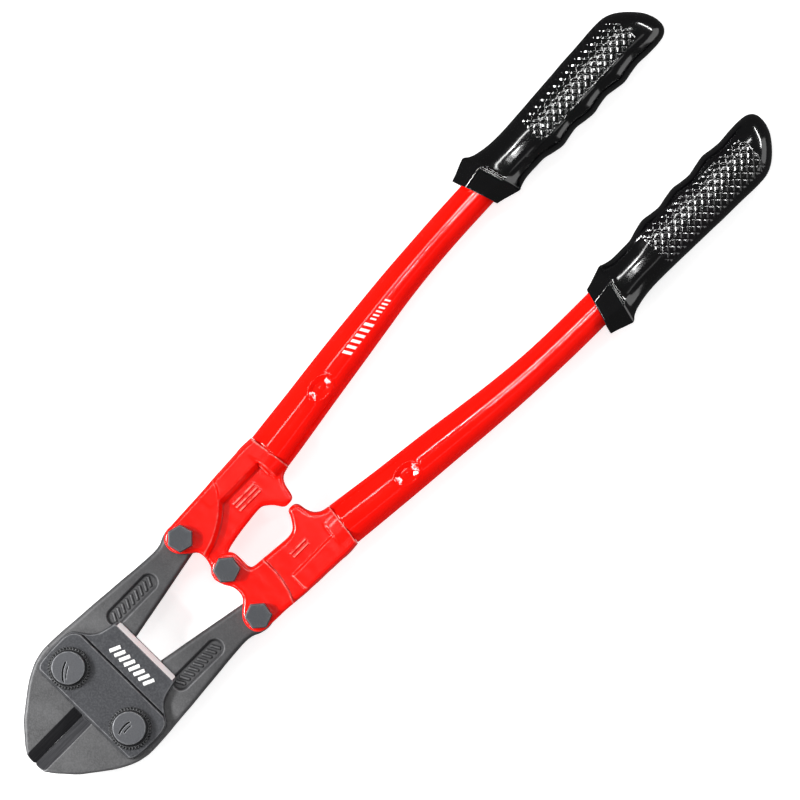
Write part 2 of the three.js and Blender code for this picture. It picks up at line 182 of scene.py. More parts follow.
def iso(lo, hi, v, field, keep=1.0):
    """Vertices, triangles and normals of field(X, Y, Z) = 0 over a box, voxel v, thinned to keep."""
    ax = [np.arange(lo[i] - 2 * v, hi[i] + 2.5 * v, v).astype(F) for i in range(3)]
    X, Y, Z = ax[0][:, None, None], ax[1][None, :, None], ax[2][None, None, :]
    arr = np.ascontiguousarray(np.broadcast_to(field(X, Y, Z), [len(a) for a in ax]).astype(F))
    base = np.array([a[0] for a in ax])
    g = openvdb.FloatGrid(10.0)
    g.copyFromArray(arr)
    pts, tris, quads = g.convertToPolygons(0.0, 0.0)
    faces = np.concatenate([quads[:, [0, 1, 2]], quads[:, [0, 2, 3]]] + ([tris] if len(tris) else []))
    if keep < 1:
        me = bpy.data.meshes.new("t")
        me.from_pydata(pts.tolist(), [], faces.tolist())
        ob = bpy.data.objects.new("t", me)
        bpy.context.scene.collection.objects.link(ob)
        mod = ob.modifiers.new("d", "DECIMATE")
        mod.ratio = keep
        dg = bpy.context.evaluated_depsgraph_get()
        m2 = bpy.data.meshes.new_from_object(ob.evaluated_get(dg))
        m2.calc_loop_triangles()
        pts = np.zeros(len(m2.vertices) * 3, F)
        m2.vertices.foreach_get("co", pts)
        pts = pts.reshape(-1, 3)
        faces = np.zeros(len(m2.loop_triangles) * 3, np.int32)
        m2.loop_triangles.foreach_get("vertices", faces)
        faces = faces.reshape(-1, 3)
        bpy.data.objects.remove(ob)
        bpy.data.meshes.remove(me)
        bpy.data.meshes.remove(m2)
    e = 0.6
    nrm = np.stack([_tri(arr, pts + d) - _tri(arr, pts - d) for d in np.eye(3) * e], -1)
    nrm /= np.linalg.norm(nrm, axis=1, keepdims=True) + 1e-9
    # how sharply the surface turns there: 0.5 flat, 1 convex edge, 0 concave corner
    w = 0.45 / v
    lap = sum(_tri(arr, pts + d) + _tri(arr, pts - d) for d in np.eye(3) * w) - 6 * _tri(arr, pts)
    turn = np.clip(0.5 + 0.5 * lap / (0.45 * 0.45) * 0.8, 0, 1)
    co = pts * v + base
    a, b, c = (co[faces[:, k]] for k in range(3))
    if np.einsum("ij,ij->", np.cross(b - a, c - a), nrm[faces[:, 0]]) < 0:
        faces = faces[:, ::-1]
    return co, faces, nrm, turn


def mirror(m, axis=0):
    co, f, n, e = m
    s = np.ones(3)
    s[axis] = -1
    return co * s, f[:, ::-1], n * s, e


def spline(xs, ys, x):
    """Cubic through the points, gentle at its knots."""
    xs, ys, x = np.asarray(xs, float), np.asarray(ys, float), np.asarray(x, float)
    h = np.diff(xs)
    d = np.diff(ys) / h
    m = np.concatenate([[d[0]], (d[:-1] * h[1:] + d[1:] * h[:-1]) / (h[1:] + h[:-1]), [d[-1]]])
    i = np.clip(np.searchsorted(xs, x) - 1, 0, len(h) - 1)
    t = (x - xs[i]) / h[i]
    return (
        ys[i] * (1 + 2 * t) * (1 - t) ** 2 + m[i] * h[i] * t * (1 - t) ** 2
        + ys[i + 1] * t * t * (3 - 2 * t) + m[i + 1] * h[i] * t * t * (t - 1)
    )


def skin(R, close_start=True, close_end=True):
    """Faces over rings R (n, seg, 3); a closed end gets a middle vertex."""
    n, seg = R.shape[:2]
    co = R.reshape(-1, 3)
    i = np.arange(n - 1)[:, None] * seg
    j = np.arange(seg)[None, :]
    k = (j + 1) % seg
    f = np.stack([i + j, i + k, i + seg + k, i + seg + j], -1).reshape(-1, 4).tolist()
    co = co.tolist()
    for want, row in ((close_start, 0), (close_end, n - 1)):
        if want:
            c = len(co)
            co.append(R[row].mean(0).tolist())
            o = row * seg
            for a in range(seg):
                b = (a + 1) % seg
                f.append([o + b, o + a, c] if row == 0 else [o + a, o + b, c])
    return np.array(co), f


def outward(co, f):
    v = 0.0
    co = np.asarray(co)
    for q in f[:: max(1, len(f) // 4000)]:
        a, b, c = co[q[0]], co[q[1]], co[q[2]]
        v += np.dot(a - co.mean(0), np.cross(b - a, c - a))
    return f if v > 0 else [list(reversed(q)) for q in f]


# ---- materials -----------------------------------------------------------------------------------
class Mat:
    def __init__(self, name, **sock):
        self.m = bpy.data.materials.new(name)
        self.m.use_nodes = True
        self.t = self.m.node_tree
        self.b = self.t.nodes["Principled BSDF"]
        for k, v in sock.items():
            self.b.inputs[k.replace("_", " ")].default_value = v
        self.co = self.t.nodes.new("ShaderNodeTexCoord")
        self.bump = None

    def node(self, kind, props=None, **ins):
        n = self.t.nodes.new(kind)
        for k, v in (props or {}).items():
            setattr(n, k, v)
        for k, v in ins.items():
            k = int(k[1:]) if k[0] == "i" and k[1:].isdigit() else k.replace("_", " ")
            if isinstance(v, bpy.types.NodeSocket):
                self.t.links.new(v, n.inputs[k])
            else:
                n.inputs[k].default_value = v
        return n

    def obj(self):
        return self.co.outputs["Object"]

    def noise(self, scale, detail=4.0, rough=0.55, dist=0.0, stretch=None):
        v = self.obj()
        if stretch:
            v = self.node("ShaderNodeMapping", Vector=v, Scale=stretch).outputs[0]
        return self.node("ShaderNodeTexNoise", Vector=v, Scale=scale, Detail=detail, Roughness=rough, Distortion=dist).outputs[0]

    def voronoi(self, scale, feature="F1"):
        return self.node("ShaderNodeTexVoronoi", {"feature": feature}, Vector=self.obj(), Scale=scale).outputs[0]

    def ramp(self, fac, *stops):
        n = self.node("ShaderNodeValToRGB", Fac=fac)
        cr = n.color_ramp
        while len(cr.elements) < len(stops):
            cr.elements.new(0.5)
        for e, (p, c) in zip(cr.elements, stops):
            e.position = p
            e.color = (*c, 1) if isinstance(c, tuple) else (c, c, c, 1)
        return n.outputs[0]

    def mix(self, fac, a, b, kind="MIX"):
        n = self.t.nodes.new("ShaderNodeMix")
        n.data_type = "RGBA"
        n.blend_type = kind
        for sock, v in ((n.inputs[0], fac), (n.inputs[6], a), (n.inputs[7], b)):
            if isinstance(v, bpy.types.NodeSocket):
                self.t.links.new(v, sock)
            elif isinstance(v, tuple):
                sock.default_value = (*v, 1)
            else:
                sock.default_value = v
        return n.outputs[2]

    def math(self, op, a, b=0.0, c=0.0, clamp=False):
        n = self.t.nodes.new("ShaderNodeMath")
        n.operation = op
        n.use_clamp = clamp
        for s, v in zip(n.inputs, (a, b, c)):
            if isinstance(v, bpy.types.NodeSocket):
                self.t.links.new(v, s)
            else:
                s.default_value = v
        return n.outputs[0]

    def set(self, sock, out):
        self.t.links.new(out, self.b.inputs[sock])
        return self

    def bumps(self, height, dist, strength=1.0):
        """Adds a bump of the given depth in metres over the ones before it."""
        n = self.node("ShaderNodeBump", Height=height, Distance=dist, Strength=strength)
        if self.bump:
            self.t.links.new(self.bump, n.inputs["Normal"])
        self.bump = n.outputs[0]
        self.t.links.new(self.bump, self.b.inputs["Normal"])
        return self

    def edge(self, lo=0.66, hi=0.95):
        """1 along convex edges: worn edges on the steel parts, painted edge highlights on the red castings."""
        n = self.node("ShaderNodeAttribute", {"attribute_name": "turn"})
        return self.ramp(n.outputs["Fac"], (lo, 0.0), (hi, 1.0))

    def painted_hollow_shade(self, lo=0.08, hi=0.40):
        """1 down in concave corners, where the colour is darkened as painted shade."""
        n = self.node("ShaderNodeAttribute", {"attribute_name": "turn"})
        return self.ramp(n.outputs["Fac"], (lo, 1.0), (hi, 0.0))


def red_cast():
    m = Mat("red_enamel_cast", Roughness=0.2, IOR=1.5, Specular_IOR_Level=0.6)
    fine, wide = m.noise(900, 3, 0.5), m.noise(120, 3, 0.5)
    col = m.ramp(wide, (0.3, (0.90, 0.0050, 0.0022)), (0.7, (0.97, 0.0070, 0.0030)))
    # painted shade: the red is darkened in concave corners
    col = m.mix(m.math("MULTIPLY", m.painted_hollow_shade(), 0.55), col, (0.34, 0.0020, 0.0012))
    # painted highlight: pale pink lines along the castings' convex edges
    thin = m.math("MULTIPLY", m.edge(0.72, 0.98), m.ramp(m.noise(240, 4, 0.7), (0.38, 0.05), (0.62, 0.55)))
    col = m.mix(thin, col, (0.95, 0.42, 0.36))
    m.set("Base Color", col)
    m.set("Roughness", m.ramp(fine, (0.25, 0.13), (0.75, 0.23)))
    m.bumps(m.noise(420, 4, 0.6), 0.00010, 0.40).bumps(fine, 0.00003, 0.5)
    return m.m


def red_tube(marks=None):
    m = Mat("red_enamel_tube" + ("_marked" if marks else ""), Roughness=0.08, IOR=1.5, Specular_IOR_Level=0.42)
    wide, fine = m.noise(60, 3, 0.5), m.noise(1500, 2, 0.5)
    col = m.ramp(wide, (0.3, (0.91, 0.0045, 0.0018)), (0.7, (0.97, 0.0065, 0.0026)))
    rough = m.ramp(m.noise(300, 3, 0.6), (0.3, 0.06), (0.75, 0.11))
    if marks:
        mask = marks(m)
        col = m.mix(mask, col, (0.82, 0.80, 0.79))
        rough = m.mix(mask, rough, (0.42, 0.42, 0.42))
        m.bumps(mask, 0.00004, 0.8)
    m.set("Base Color", col)
    m.set("Roughness", rough)
    m.bumps(m.noise(260, 2, 0.4), 0.00003, 0.30).bumps(fine, 0.000006, 0.5)
    return m.m


def forged():
    m = Mat("forged_jaw_steel", Metallic=0.3, Roughness=0.5, Specular_IOR_Level=0.35)
    grain, patch = m.noise(1400, 4, 0.65), m.noise(90, 4, 0.6)
    col = m.ramp(patch, (0.3, (0.076, 0.076, 0.078)), (0.7, (0.112, 0.112, 0.115)))
    col = m.mix(m.ramp(grain, (0.42, 0.0), (0.72, 0.6)), col, (0.155, 0.155, 0.158))
    # painted shade: the steel is darkened in concave corners
    col = m.mix(m.math("MULTIPLY", m.painted_hollow_shade(0.1, 0.46), 0.85), col, (0.020, 0.020, 0.022))
    worn = m.math("MULTIPLY", m.edge(), m.ramp(m.noise(260, 4, 0.7), (0.35, 0.08), (0.65, 0.5)))
    col = m.mix(worn, col, (0.30, 0.30, 0.31))
    # painted shade: the jaw arms darker from y 22 mm, most between 47 and 62 mm, fading out by 95 mm
    y = m.math("SUBTRACT", m.math("MULTIPLY", m.node("ShaderNodeSeparateXYZ", Vector=m.obj()).outputs[1], 1000.0), OY)
    painted_arm_shade = m.math("MULTIPLY", m.math("SUBTRACT", y, 22.0), 0.04, clamp=True)
    painted_arm_shade = m.math("MULTIPLY", painted_arm_shade, m.math("SUBTRACT", 1.0, m.math("MULTIPLY", m.math("SUBTRACT", y, 62.0), 0.03, clamp=True)))
    col = m.mix(m.math("MULTIPLY", painted_arm_shade, 0.5), col, (0.030, 0.030, 0.032))
    m.set("Base Color", col)
    m.set("Roughness", m.ramp(grain, (0.3, 0.42), (0.7, 0.60)))
    m.bumps(m.noise(700, 5, 0.65), 0.00012, 0.7).bumps(m.voronoi(1700), 0.00005, 0.5)
    return m.m


def ground_blade():
    m = Mat("ground_blade_steel", Metallic=0.55, Roughness=0.34)
    lines = m.noise(1800, 3, 0.5, stretch=(1.0, 0.04, 1.0))
    col = m.ramp(lines, (0.3, (0.036, 0.036, 0.040)), (0.7, (0.060, 0.060, 0.065)))
    worn = m.math("MULTIPLY", m.edge(0.7, 1.0), 0.15)
    m.set("Base Color", m.mix(worn, col, (0.35, 0.35, 0.36)))
    m.set("Roughness", m.ramp(lines, (0.3, 0.28), (0.7, 0.42)))
    m.bumps(lines, 0.00002, 0.4)
    return m.m


def strap_steel():
    m = Mat("phosphated_strap_steel", Metallic=0.4, Roughness=0.46)
    grain, patch = m.noise(1100, 4, 0.6), m.noise(70, 3, 0.6)
    col = m.ramp(patch, (0.3, (0.042, 0.043, 0.048)), (0.7, (0.058, 0.060, 0.066)))
    col = m.mix(m.ramp(grain, (0.42, 0.0), (0.72, 0.5)), col, (0.115, 0.117, 0.125))
    # painted shade: the steel is darkened in concave corners
    col = m.mix(m.math("MULTIPLY", m.painted_hollow_shade(0.1, 0.46), 0.85), col, (0.012, 0.012, 0.014))
    worn = m.math("MULTIPLY", m.edge(), m.ramp(m.noise(260, 4, 0.7), (0.35, 0.08), (0.65, 0.5)))
    col = m.mix(worn, col, (0.34, 0.34, 0.35))
    m.set("Base Color", col)
    m.set("Roughness", m.ramp(grain, (0.3, 0.38), (0.7, 0.54)))
    m.bumps(m.noise(520, 4, 0.6), 0.00006, 0.5).bumps(grain, 0.00002, 0.5)
    return m.m


def chamfer_steel_painted_highlight():
    m = Mat("strap_end_steel_painted_highlight", Metallic=0.15, Roughness=0.4)
    lines = m.noise(1500, 3, 0.5, stretch=(0.05, 1.0, 1.0))
    # near-white: bare ground steel on the tail chamfer, brightened further as a painted highlight
    m.set("Base Color", m.ramp(lines, (0.3, (0.86, 0.86, 0.86)), (0.7, (0.95, 0.95, 0.95))))
    m.set("Roughness", m.ramp(lines, (0.3, 0.34), (0.7, 0.48)))
    m.bumps(lines, 0.00002, 0.4)
    return m.m


def bolt_steel(name="blackened_bolt_steel", tint=(0.112, 0.115, 0.124)):
    m = Mat(name, Metallic=0.4, Roughness=0.42)
    grain = m.noise(1500, 4, 0.6)
    lo = tuple(c * 0.80 for c in tint)
    col = m.ramp(grain, (0.3, lo), (0.7, tint))
    # painted shade: the steel is darkened in concave corners
    col = m.mix(m.math("MULTIPLY", m.painted_hollow_shade(0.1, 0.46), 0.9), col, (0.008, 0.008, 0.010))
    worn = m.math("MULTIPLY", m.edge(0.7, 1.0), m.ramp(m.noise(500, 4, 0.7), (0.35, 0.05), (0.65, 0.3 if tint[0] < 0.1 else 0.45)))
    col = m.mix(worn, col, (0.36, 0.365, 0.375))
    m.set("Base Color", col)
    m.set("Roughness", m.ramp(m.noise(2600, 2, 0.5), (0.3, 0.34), (0.7, 0.48)))
    m.bumps(m.noise(800, 4, 0.6), 0.00005, 0.5)
    return m.m


def black_vinyl():
    m = Mat("black_grip_vinyl", Roughness=0.12, IOR=1.6, Specular_IOR_Level=1.0)
    wide, fine = m.noise(150, 3, 0.5), m.noise(2200, 3, 0.6)
    m.set("Base Color", m.ramp(wide, (0.3, (0.0008, 0.0008, 0.0011)), (0.7, (0.0016, 0.0016, 0.0020))))
    m.set("Roughness", m.ramp(fine, (0.3, 0.09), (0.75, 0.17)))
    m.bumps(m.noise(160, 2, 0.5), 0.00003, 0.20).bumps(fine, 0.000004, 0.4)
    return m.m


def white_mark():
    m = Mat("white_mark_paint", Roughness=0.45)
    n = m.noise(900, 3, 0.5)
    m.set("Base Color", m.ramp(n, (0.3, (0.80, 0.80, 0.79)), (0.7, (0.92, 0.92, 0.91))))
    m.set("Roughness", m.ramp(n, (0.3, 0.38), (0.7, 0.55)))
    m.bumps(n, 0.00002, 0.5)
    return m.m


RED_CAST, RED_TUBE = red_cast(), red_tube()
FORGED, BLADE, STRAP, CHAMFER_HIGHLIGHT = forged(), ground_blade(), strap_steel(), chamfer_steel_painted_highlight()
BOLT, HEXM = bolt_steel(), bolt_steel("blued_hex_steel", (0.074, 0.078, 0.086))
VINYL, WHITE = black_vinyl(), white_mark()
# near-black painted shade for the jaw bolts' toothed ring: the groove's shade and the head's cast shadow
BOLT_RIM_SHADE = bolt_steel("bolt_rim_painted_shade", (0.014, 0.0145, 0.016))

# ---- jaws ----------------------------------------------------------------------------------------
JAW_RUNS = [
    [(5.9, -43.0), (9.40, -40.6), (12.83, -37.6), (18.0, -32.9), (21.76, -28.2), (25.38, -23.5), (28.81, -18.8), (31.49, -14.1),
     (33.60, -9.4), (34.78, -4.7), (35.16, 0.0), (34.75, 9.4), (33.95, 18.8), (33.28, 28.2), (32.43, 37.6), (31.63, 47.0),
     (30.93, 54.05), (30.41, 61.1), (30.17, 67.0), (30.75, 71.0), (32.2, 74.26), (33.04, 77.55), (33.13, 80.37), (32.43, 83.66),
     (30.55, 86.24), (27.73, 87.89), (24.91, 88.12), (21.62, 87.18), (18.8, 85.07), (17.15, 82.25), (16.55, 78.5)],
    [(12.2, 55.5), (7.99, 32.43), (0.15, 0.0)],
    [(0.0, -8.0), (0.0, -43.0), (0.9, -43.6), (3.0, -43.5)],
]
JAW_OUT = np.concatenate([curve(JAW_RUNS[0], 4), JAW_RUNS[1], JAW_RUNS[2]])
POCKET = (21.7, 32.4, 54.6, 4.45)  # centre x, ends' centres y, half width


def jaw_marks(side):
    """One even row of plain slanted ridges on the pocket's floor."""
    return [(POCKET[0] + 0.1, y, 2.5, 0.62, math.radians(28)) for y in np.linspace(31.8, 55.2, 9)]


def jaw_field(side):
    marks = jaw_marks(side)

    def field(X, Y, Z):
        x2, y2 = X[:, :, 0], Y[:, :, 0]
        d = poly(JAW_OUT, x2, y2)[:, :, None]
        az = np.abs(Z)
        # forged draft on the outer walls, flat ground faces
        draft = np.where(y2 < 0, 0.5, 1.0).astype(F)[:, :, None] * np.clip((x2[:, :, None] - 4) / 6, 0, 1)
        body = smax(d + az * 0.16 * draft, az - 5.0, 1.5)
        # bevels to the cutting edge
        n = math.atan2(5.0 - 0.40, 5.9)
        bev = -X * math.sin(n) + (az - 0.40) * math.cos(n)
        bev = np.maximum(bev, (Y + 11.2))
        on = smax(bev, np.broadcast_to(Y + 11.4, bev.shape), 0.2)
        cut = np.where(Y > -11.4, -5.0, bev)
        body = smax(body, np.broadcast_to(cut, body.shape), 0.18)
        # pocket with sloping walls and its raised marks
        pk = capsule(x2, y2, (POCKET[0], POCKET[1]), (POCKET[0] + 0.15, POCKET[2]), POCKET[3])[:, :, None]
        depth = 1.7
        floor = 5.0 - depth
        mk = None
        for cx, cy, hx, hy, an in marks:
            b = rbox(x2, y2, cx, cy, hx, hy, 0.3, an)[:, :, None]
            mk = b if mk is None else np.minimum(mk, b)
        lid = smax(mk + (az - floor) * 0.4, az - floor - 0.75, 0.3)
        hole = smax(pk + (5.0 - az) * 0.5, floor - az, 0.4)
        hole = smax(hole, -lid, 0.25)
        body = smax(body, -hole, 0.45)
        for cx, cy, r in ((JX, 0, 5.3), (TX, TY, 4.3)):
            body = smax(body, r - np.hypot(X - cx, Y - cy), 0.3)
        return body + lump(X, Y, Z, 5, 9.0, 0.03)

    return field


for tag, sx in (("right", 1), ("left", -1)):
    m = iso((0, -43.7, -5.1), (35.4, 88.4, 5.1), 0.26, jaw_field(sx), 0.36)
    if sx < 0:
        m = mirror(m)
    ob = new_object(f"jaw_forging_{tag}", *m, body=f"jaw_{tag}", mats=[FORGED, BLADE], replaces=[f"jaw_{tag}"], slot="jaw_steel")
    me = ob.data
    c = np.zeros(len(me.polygons) * 3)
    me.polygons.foreach_get("center", c)
    c = c.reshape(-1, 3) * 1000 - (OX, OY, OZ)
    nn = np.zeros(len(me.polygons) * 3)
    me.polygons.foreach_get("normal", nn)
    nn = nn.reshape(-1, 3)
    blade = (np.abs(c[:, 0]) < 5.95) & (c[:, 1] < -11.3) & (np.abs(nn[:, 0]) > 0.35) & (np.abs(nn[:, 1]) < 0.5)
    me.polygons.foreach_set("material_index", blade.astype(np.int32))
    me.update()

# ---- straps --------------------------------------------------------------------------------------
_half = [(27.6, -10.81), (29.4, -10.3), (30.7, -9.0), (31.5, -6.6), (31.9, -2.0), (32.05, 4.0), (32.1, 8.6), (31.6, 11.2), (30.6, 13.1),
         (28.6, 14.7), (26.2, 16.4), (24.0, 18.2), (22.2, 20.5), (21.1, 22.9), (20.3, 25.85), (19.6, 28.9), (18.9, 30.9), (17.2, 31.96)]
_h = curve(_half, 4)
STRAP_OUT = np.concatenate([[(0, -10.81)], _h, [(0, 31.96)], (_h * (-1, 1))[::-1]])
_rh = curve([(27.6, -10.81), (29.4, -10.3), (30.7, -9.0), (31.5, -6.6), (31.9, -2.0), (32.0, 4.0), (31.9, 8.0), (31.2, 11.0), (29.8, 13.3), (27.3, 14.8)], 4)
RAISED = np.concatenate([[(0, -10.81)], _rh, [(0, 14.8)], (_rh * (-1, 1))[::-1]])


def strap_field(X, Y, Z):
    x2, y2 = X[:, :, 0], Y[:, :, 0]
    d = poly(STRAP_OUT, x2, y2)[:, :, None]
    r = poly(RAISED, x2, y2)[:, :, None]
    base = smax(d + (Z - 8.3) * 0.2, np.abs(Z - 6.8) - 1.5, 0.6)
    an = math.radians(46)
    cham = (Y - 29.7) * math.sin(an) + (Z - 8.3) * math.cos(an)
    base = smax(base, np.broadcast_to(cham, base.shape), 0.3)
    top = smax(r + (Z - 9.7) * 0.2, np.abs(Z - 7.5) - 2.2, 0.35)
    low = -(Y + 9.9) * math.sin(math.radians(48)) + (Z - 9.7) * math.cos(math.radians(48))
    top = smax(top, low, 0.2)
    top = smax(top, d + (Z - 9.7) * 0.12, 0.5)
    out = smin(base, top, 0.15)
    out = smax(out, 0.62 - np.hypot(np.abs(r - 0.45), Z - 8.45), 0.12)
    for sx in (1, -1):
        out = smax(out, 5.3 - np.hypot(X - sx * JX, Y), 0.3)
    return out + lump(X, Y, Z, 9, 12.0, 0.02)


m = iso((-33, -11.2, 5.2), (33, 32.2, 9.8), 0.22, strap_field, 0.38)
for tag, mm_ in (("front", m), ("back", mirror(m, 2))):
    ob = new_object(f"strap_plate_{tag}", *mm_, body="head", mats=[STRAP, CHAMFER_HIGHLIGHT], replaces=[f"strap_{tag}"], slot="strap_steel")
    me = ob.data
    c = np.zeros(len(me.polygons) * 3)
    me.polygons.foreach_get("center", c)
    c = c.reshape(-1, 3) * 1000 - (OX, OY, OZ)
    nn = np.zeros(len(me.polygons) * 3)
    me.polygons.foreach_get("normal", nn)
    nn = nn.reshape(-1, 3)
    # the tail chamfer faces get the near-white painted-highlight steel
    end = (c[:, 1] > 29.4) & (nn[:, 1] > 0.5) & (np.abs(nn[:, 2]) > 0.3) & (np.abs(c[:, 0]) < 18.2)
    me.polygons.foreach_set("material_index", end.astype(np.int32))
    me.update()

# generic raised bars painted white on the tail panel of both straps
BARS = [(x, 0.95, -0.42) for x in np.linspace(-11.1, 11.1, 8)]


def bars_field(X, Y, Z):
    x2, y2 = X[:, :, 0], Y[:, :, 0]
    d = None
    for cx, hx, an in BARS:
        b = rbox(x2, y2, cx, 21.6, hx, 2.85, 0.4, an)[:, :, None]
        d = b if d is None else np.minimum(d, b)
    return smax(d + (Z - 8.3) * 0.25, np.abs(Z - 8.3) - 0.5, 0.3)


m = iso((-15, 17.5, 7.7), (15, 25.6, 9.0), 0.13, bars_field, 0.5)
new_object("strap_bars_front", *m, body="head", mats=[WHITE], slot="strap_steel")
new_object("strap_bars_back", *mirror(m, 2), body="head", mats=[WHITE], slot="strap_steel")


# ---- jaw bolts, nuts and washers -------------------------------------------------------------------
def jaw_bolt_field(side):
    def field(X, Y, Z):
        r = np.hypot(X, Y)
        a = np.arctan2(Y, X)
        teeth = 40
        pitch = 2 * math.pi * 9.3 / teeth
        s_ = np.abs(((a * F(teeth / (2 * math.pi)) + 0.25) % 1.0) - 0.5) * pitch
        ring = smax(r - 10.05 + (Z - 10.2) * 0.2, np.abs(Z - 10.3) - 0.8, 0.15)
        cut = np.maximum(np.maximum(s_ - 0.42, 8.9 - r), 9.72 - Z)
        ring = smax(ring, -cut, 0.1)
        cone = smax(r - 9.0, np.abs(Z - 10.3) - 0.8, 0.1)
        # flat top, a little off the rim's middle as on an adjusting eccentric
        r2 = np.hypot(X + 0.45, Y + 0.10)
        top = smax(r2 - 7.85 + np.clip(13.0 - Z, 0, 3) * -0.05, Z - 13.9, 0.5)
        top = np.maximum(top, 10.0 - Z)
        head = smin(smin(ring, cone, 0.15), top, 0.3)
        # shallow stamped arcs
        cx, cy, rr, y0 = (9.8, 5.2, 13.6, -2.6) if side < 0 else (9.2, -1.0, 11.9, -1.6)
        arc = np.abs(np.hypot(X - cx, Y - cy) - rr) - 0.34
        arc2 = np.abs(np.hypot(X - cx - 1.9, Y - cy - 0.3) - rr) - 0.22
        head = smax(head, -smax(smax(arc, np.abs(Y - y0) - 3.9, 0.5), 12.9 - Z, 0.4), 0.25)
        head = smax(head, -smax(smax(arc2, np.abs(Y - y0 - 0.6) - 2.4, 0.5), 13.2 - Z, 0.4), 0.25)
        shank = smax(r - 5.0, np.maximum(-13.6 - Z, Z - 10.5), 0.4)
        tip = smax(r - 4.5, np.maximum(-14.0 - Z, Z + 13.2), 0.5)
        return smin(head, smin(shank, tip, 0.2), 0.3)

    return field


def hex_bolt(turn, shank):
    def field(X, Y, Z):
        r = np.hypot(X, Y)
        top = smax(hexd(X, Y, 11.6, turn) + np.maximum(Z - 11.8, 0) * 0.16, r - 6.55 + (Z - 13.4) * 0.9, 0.25)
        head = smax(top, np.abs(Z - 11.85) - 2.1, 0.4)
        stem = smax(r - shank, np.maximum(-13.6 - Z, Z - 10.3), 0.4)
        tip = smax(r - shank + 0.5, np.maximum(-14.0 - Z, Z + 13.2), 0.5)
        return smin(head, smin(stem, tip, 0.2), 0.3)

    return field


def nut_field(f, hole, z0, z1, turn):
    mid, half = (z0 + z1) / 2, (z1 - z0) / 2

    def field(X, Y, Z):
        r = np.hypot(X, Y)
        d = smax(hexd(X, Y, f, turn), r - f * 0.567 + np.abs(Z - mid) * 0.9 - half * 0.45, 0.3)
        d = smax(d, np.abs(Z - mid) - half, 0.3)
        return smax(d, hole - r + np.maximum(0, np.abs(Z - mid) - half + 0.5) * -1, 0.25)

    return field


def washer_field(ro, ri, z0, z1):
    mid, half = (z0 + z1) / 2, (z1 - z0) / 2

    def field(X, Y, Z):
        r = np.hypot(X, Y)
        return smax(smax(r - ro, ri - r, 0.3), np.abs(Z - mid) - half, 0.3)

    return field


def at(m, x, y):
    return m[0] + (x, y, 0), m[1], m[2], m[3]


W1 = iso((-9.1, -9.1, -11), (9.1, 9.1, -9.8), 0.22, washer_field(9.0, 5.3, -10.9, -9.9), 0.5)
W2 = iso((-6.7, -6.7, -10.7), (6.7, 6.7, -9.7), 0.18, washer_field(6.6, 4.3, -10.6, -9.75), 0.5)
for tag, sx in (("right", 1), ("left", -1)):
    m = iso((-10.1, -10.1, -14.1), (10.1, 10.1, 14.0), 0.155, jaw_bolt_field(sx), 0.42)
    ob = new_object(f"jaw_pivot_bolt_{tag}", *at(m, sx * JX, 0), body="head", mats=[BOLT, BOLT_RIM_SHADE], replaces=[f"jaw_bolt_{tag}"], slot="bolt_steel")
    me = ob.data
    c = np.zeros(len(me.polygons) * 3)
    me.polygons.foreach_get("center", c)
    c = c.reshape(-1, 3) * 1000 - (OX, OY, OZ)
    # the toothed ring and head wall take the near-black painted-shade steel
    shaded_ring_faces = (np.hypot(c[:, 0] - sx * JX, c[:, 1]) > 7.7) & (c[:, 2] > 9.6) & (c[:, 2] < 13.2)
    me.polygons.foreach_set("material_index", shaded_ring_faces.astype(np.int32))
    me.update()
    m = iso((-8.8, -8.8, -13.9), (8.8, 8.8, -11), 0.2, nut_field(15, 5.3, -13.8, -11.1, 0.2 * sx), 0.5)
    new_object(f"jaw_pivot_nut_{tag}", *at(m, sx * JX, 0), body="head", mats=[BOLT], replaces=[f"jaw_nut_{tag}"], slot="bolt_steel")
    new_object(f"jaw_pivot_washer_{tag}", *at(W1, sx * JX, 0), body="head", mats=[BOLT], replaces=[f"jaw_washer_{tag}"], slot="bolt_steel")
for tag, x, y, body, turn, sh, pre in (
    ("right", TX, TY, "handle_right", 0.34, 4.0, "tail"), ("left", -TX, TY, "handle_left", 0.779, 4.0, "tail"),
    ("", 0.0, CY, "handle_right", 0.34, 3.0, "centre"),
):
    end = f"_{tag}" if tag else ""
    m = iso((-7, -7, -14.1), (7, 7, 14.1), 0.17, hex_bolt(turn, sh), 0.4)
    new_object(f"{pre}_hex_bolt{end}", *at(m, x, y), body=body, mats=[HEXM], replaces=[f"{pre}_bolt{end}"], slot="bolt_steel")
    m = iso((-7, -7, -13.8), (7, 7, -10.7), 0.18, nut_field(11.8, sh + 0.3, -13.7, -10.85, turn + 0.3), 0.5)
    new_object(f"{pre}_lock_nut{end}", *at(m, x, y), body=body, mats=[HEXM], replaces=[f"{pre}_nut{end}"], slot="bolt_steel")
    new_object(f"{pre}_flat_washer{end}", *at(W2, x, y), body=body, mats=[HEXM], replaces=[f"{pre}_washer{end}"], slot="bolt_steel")

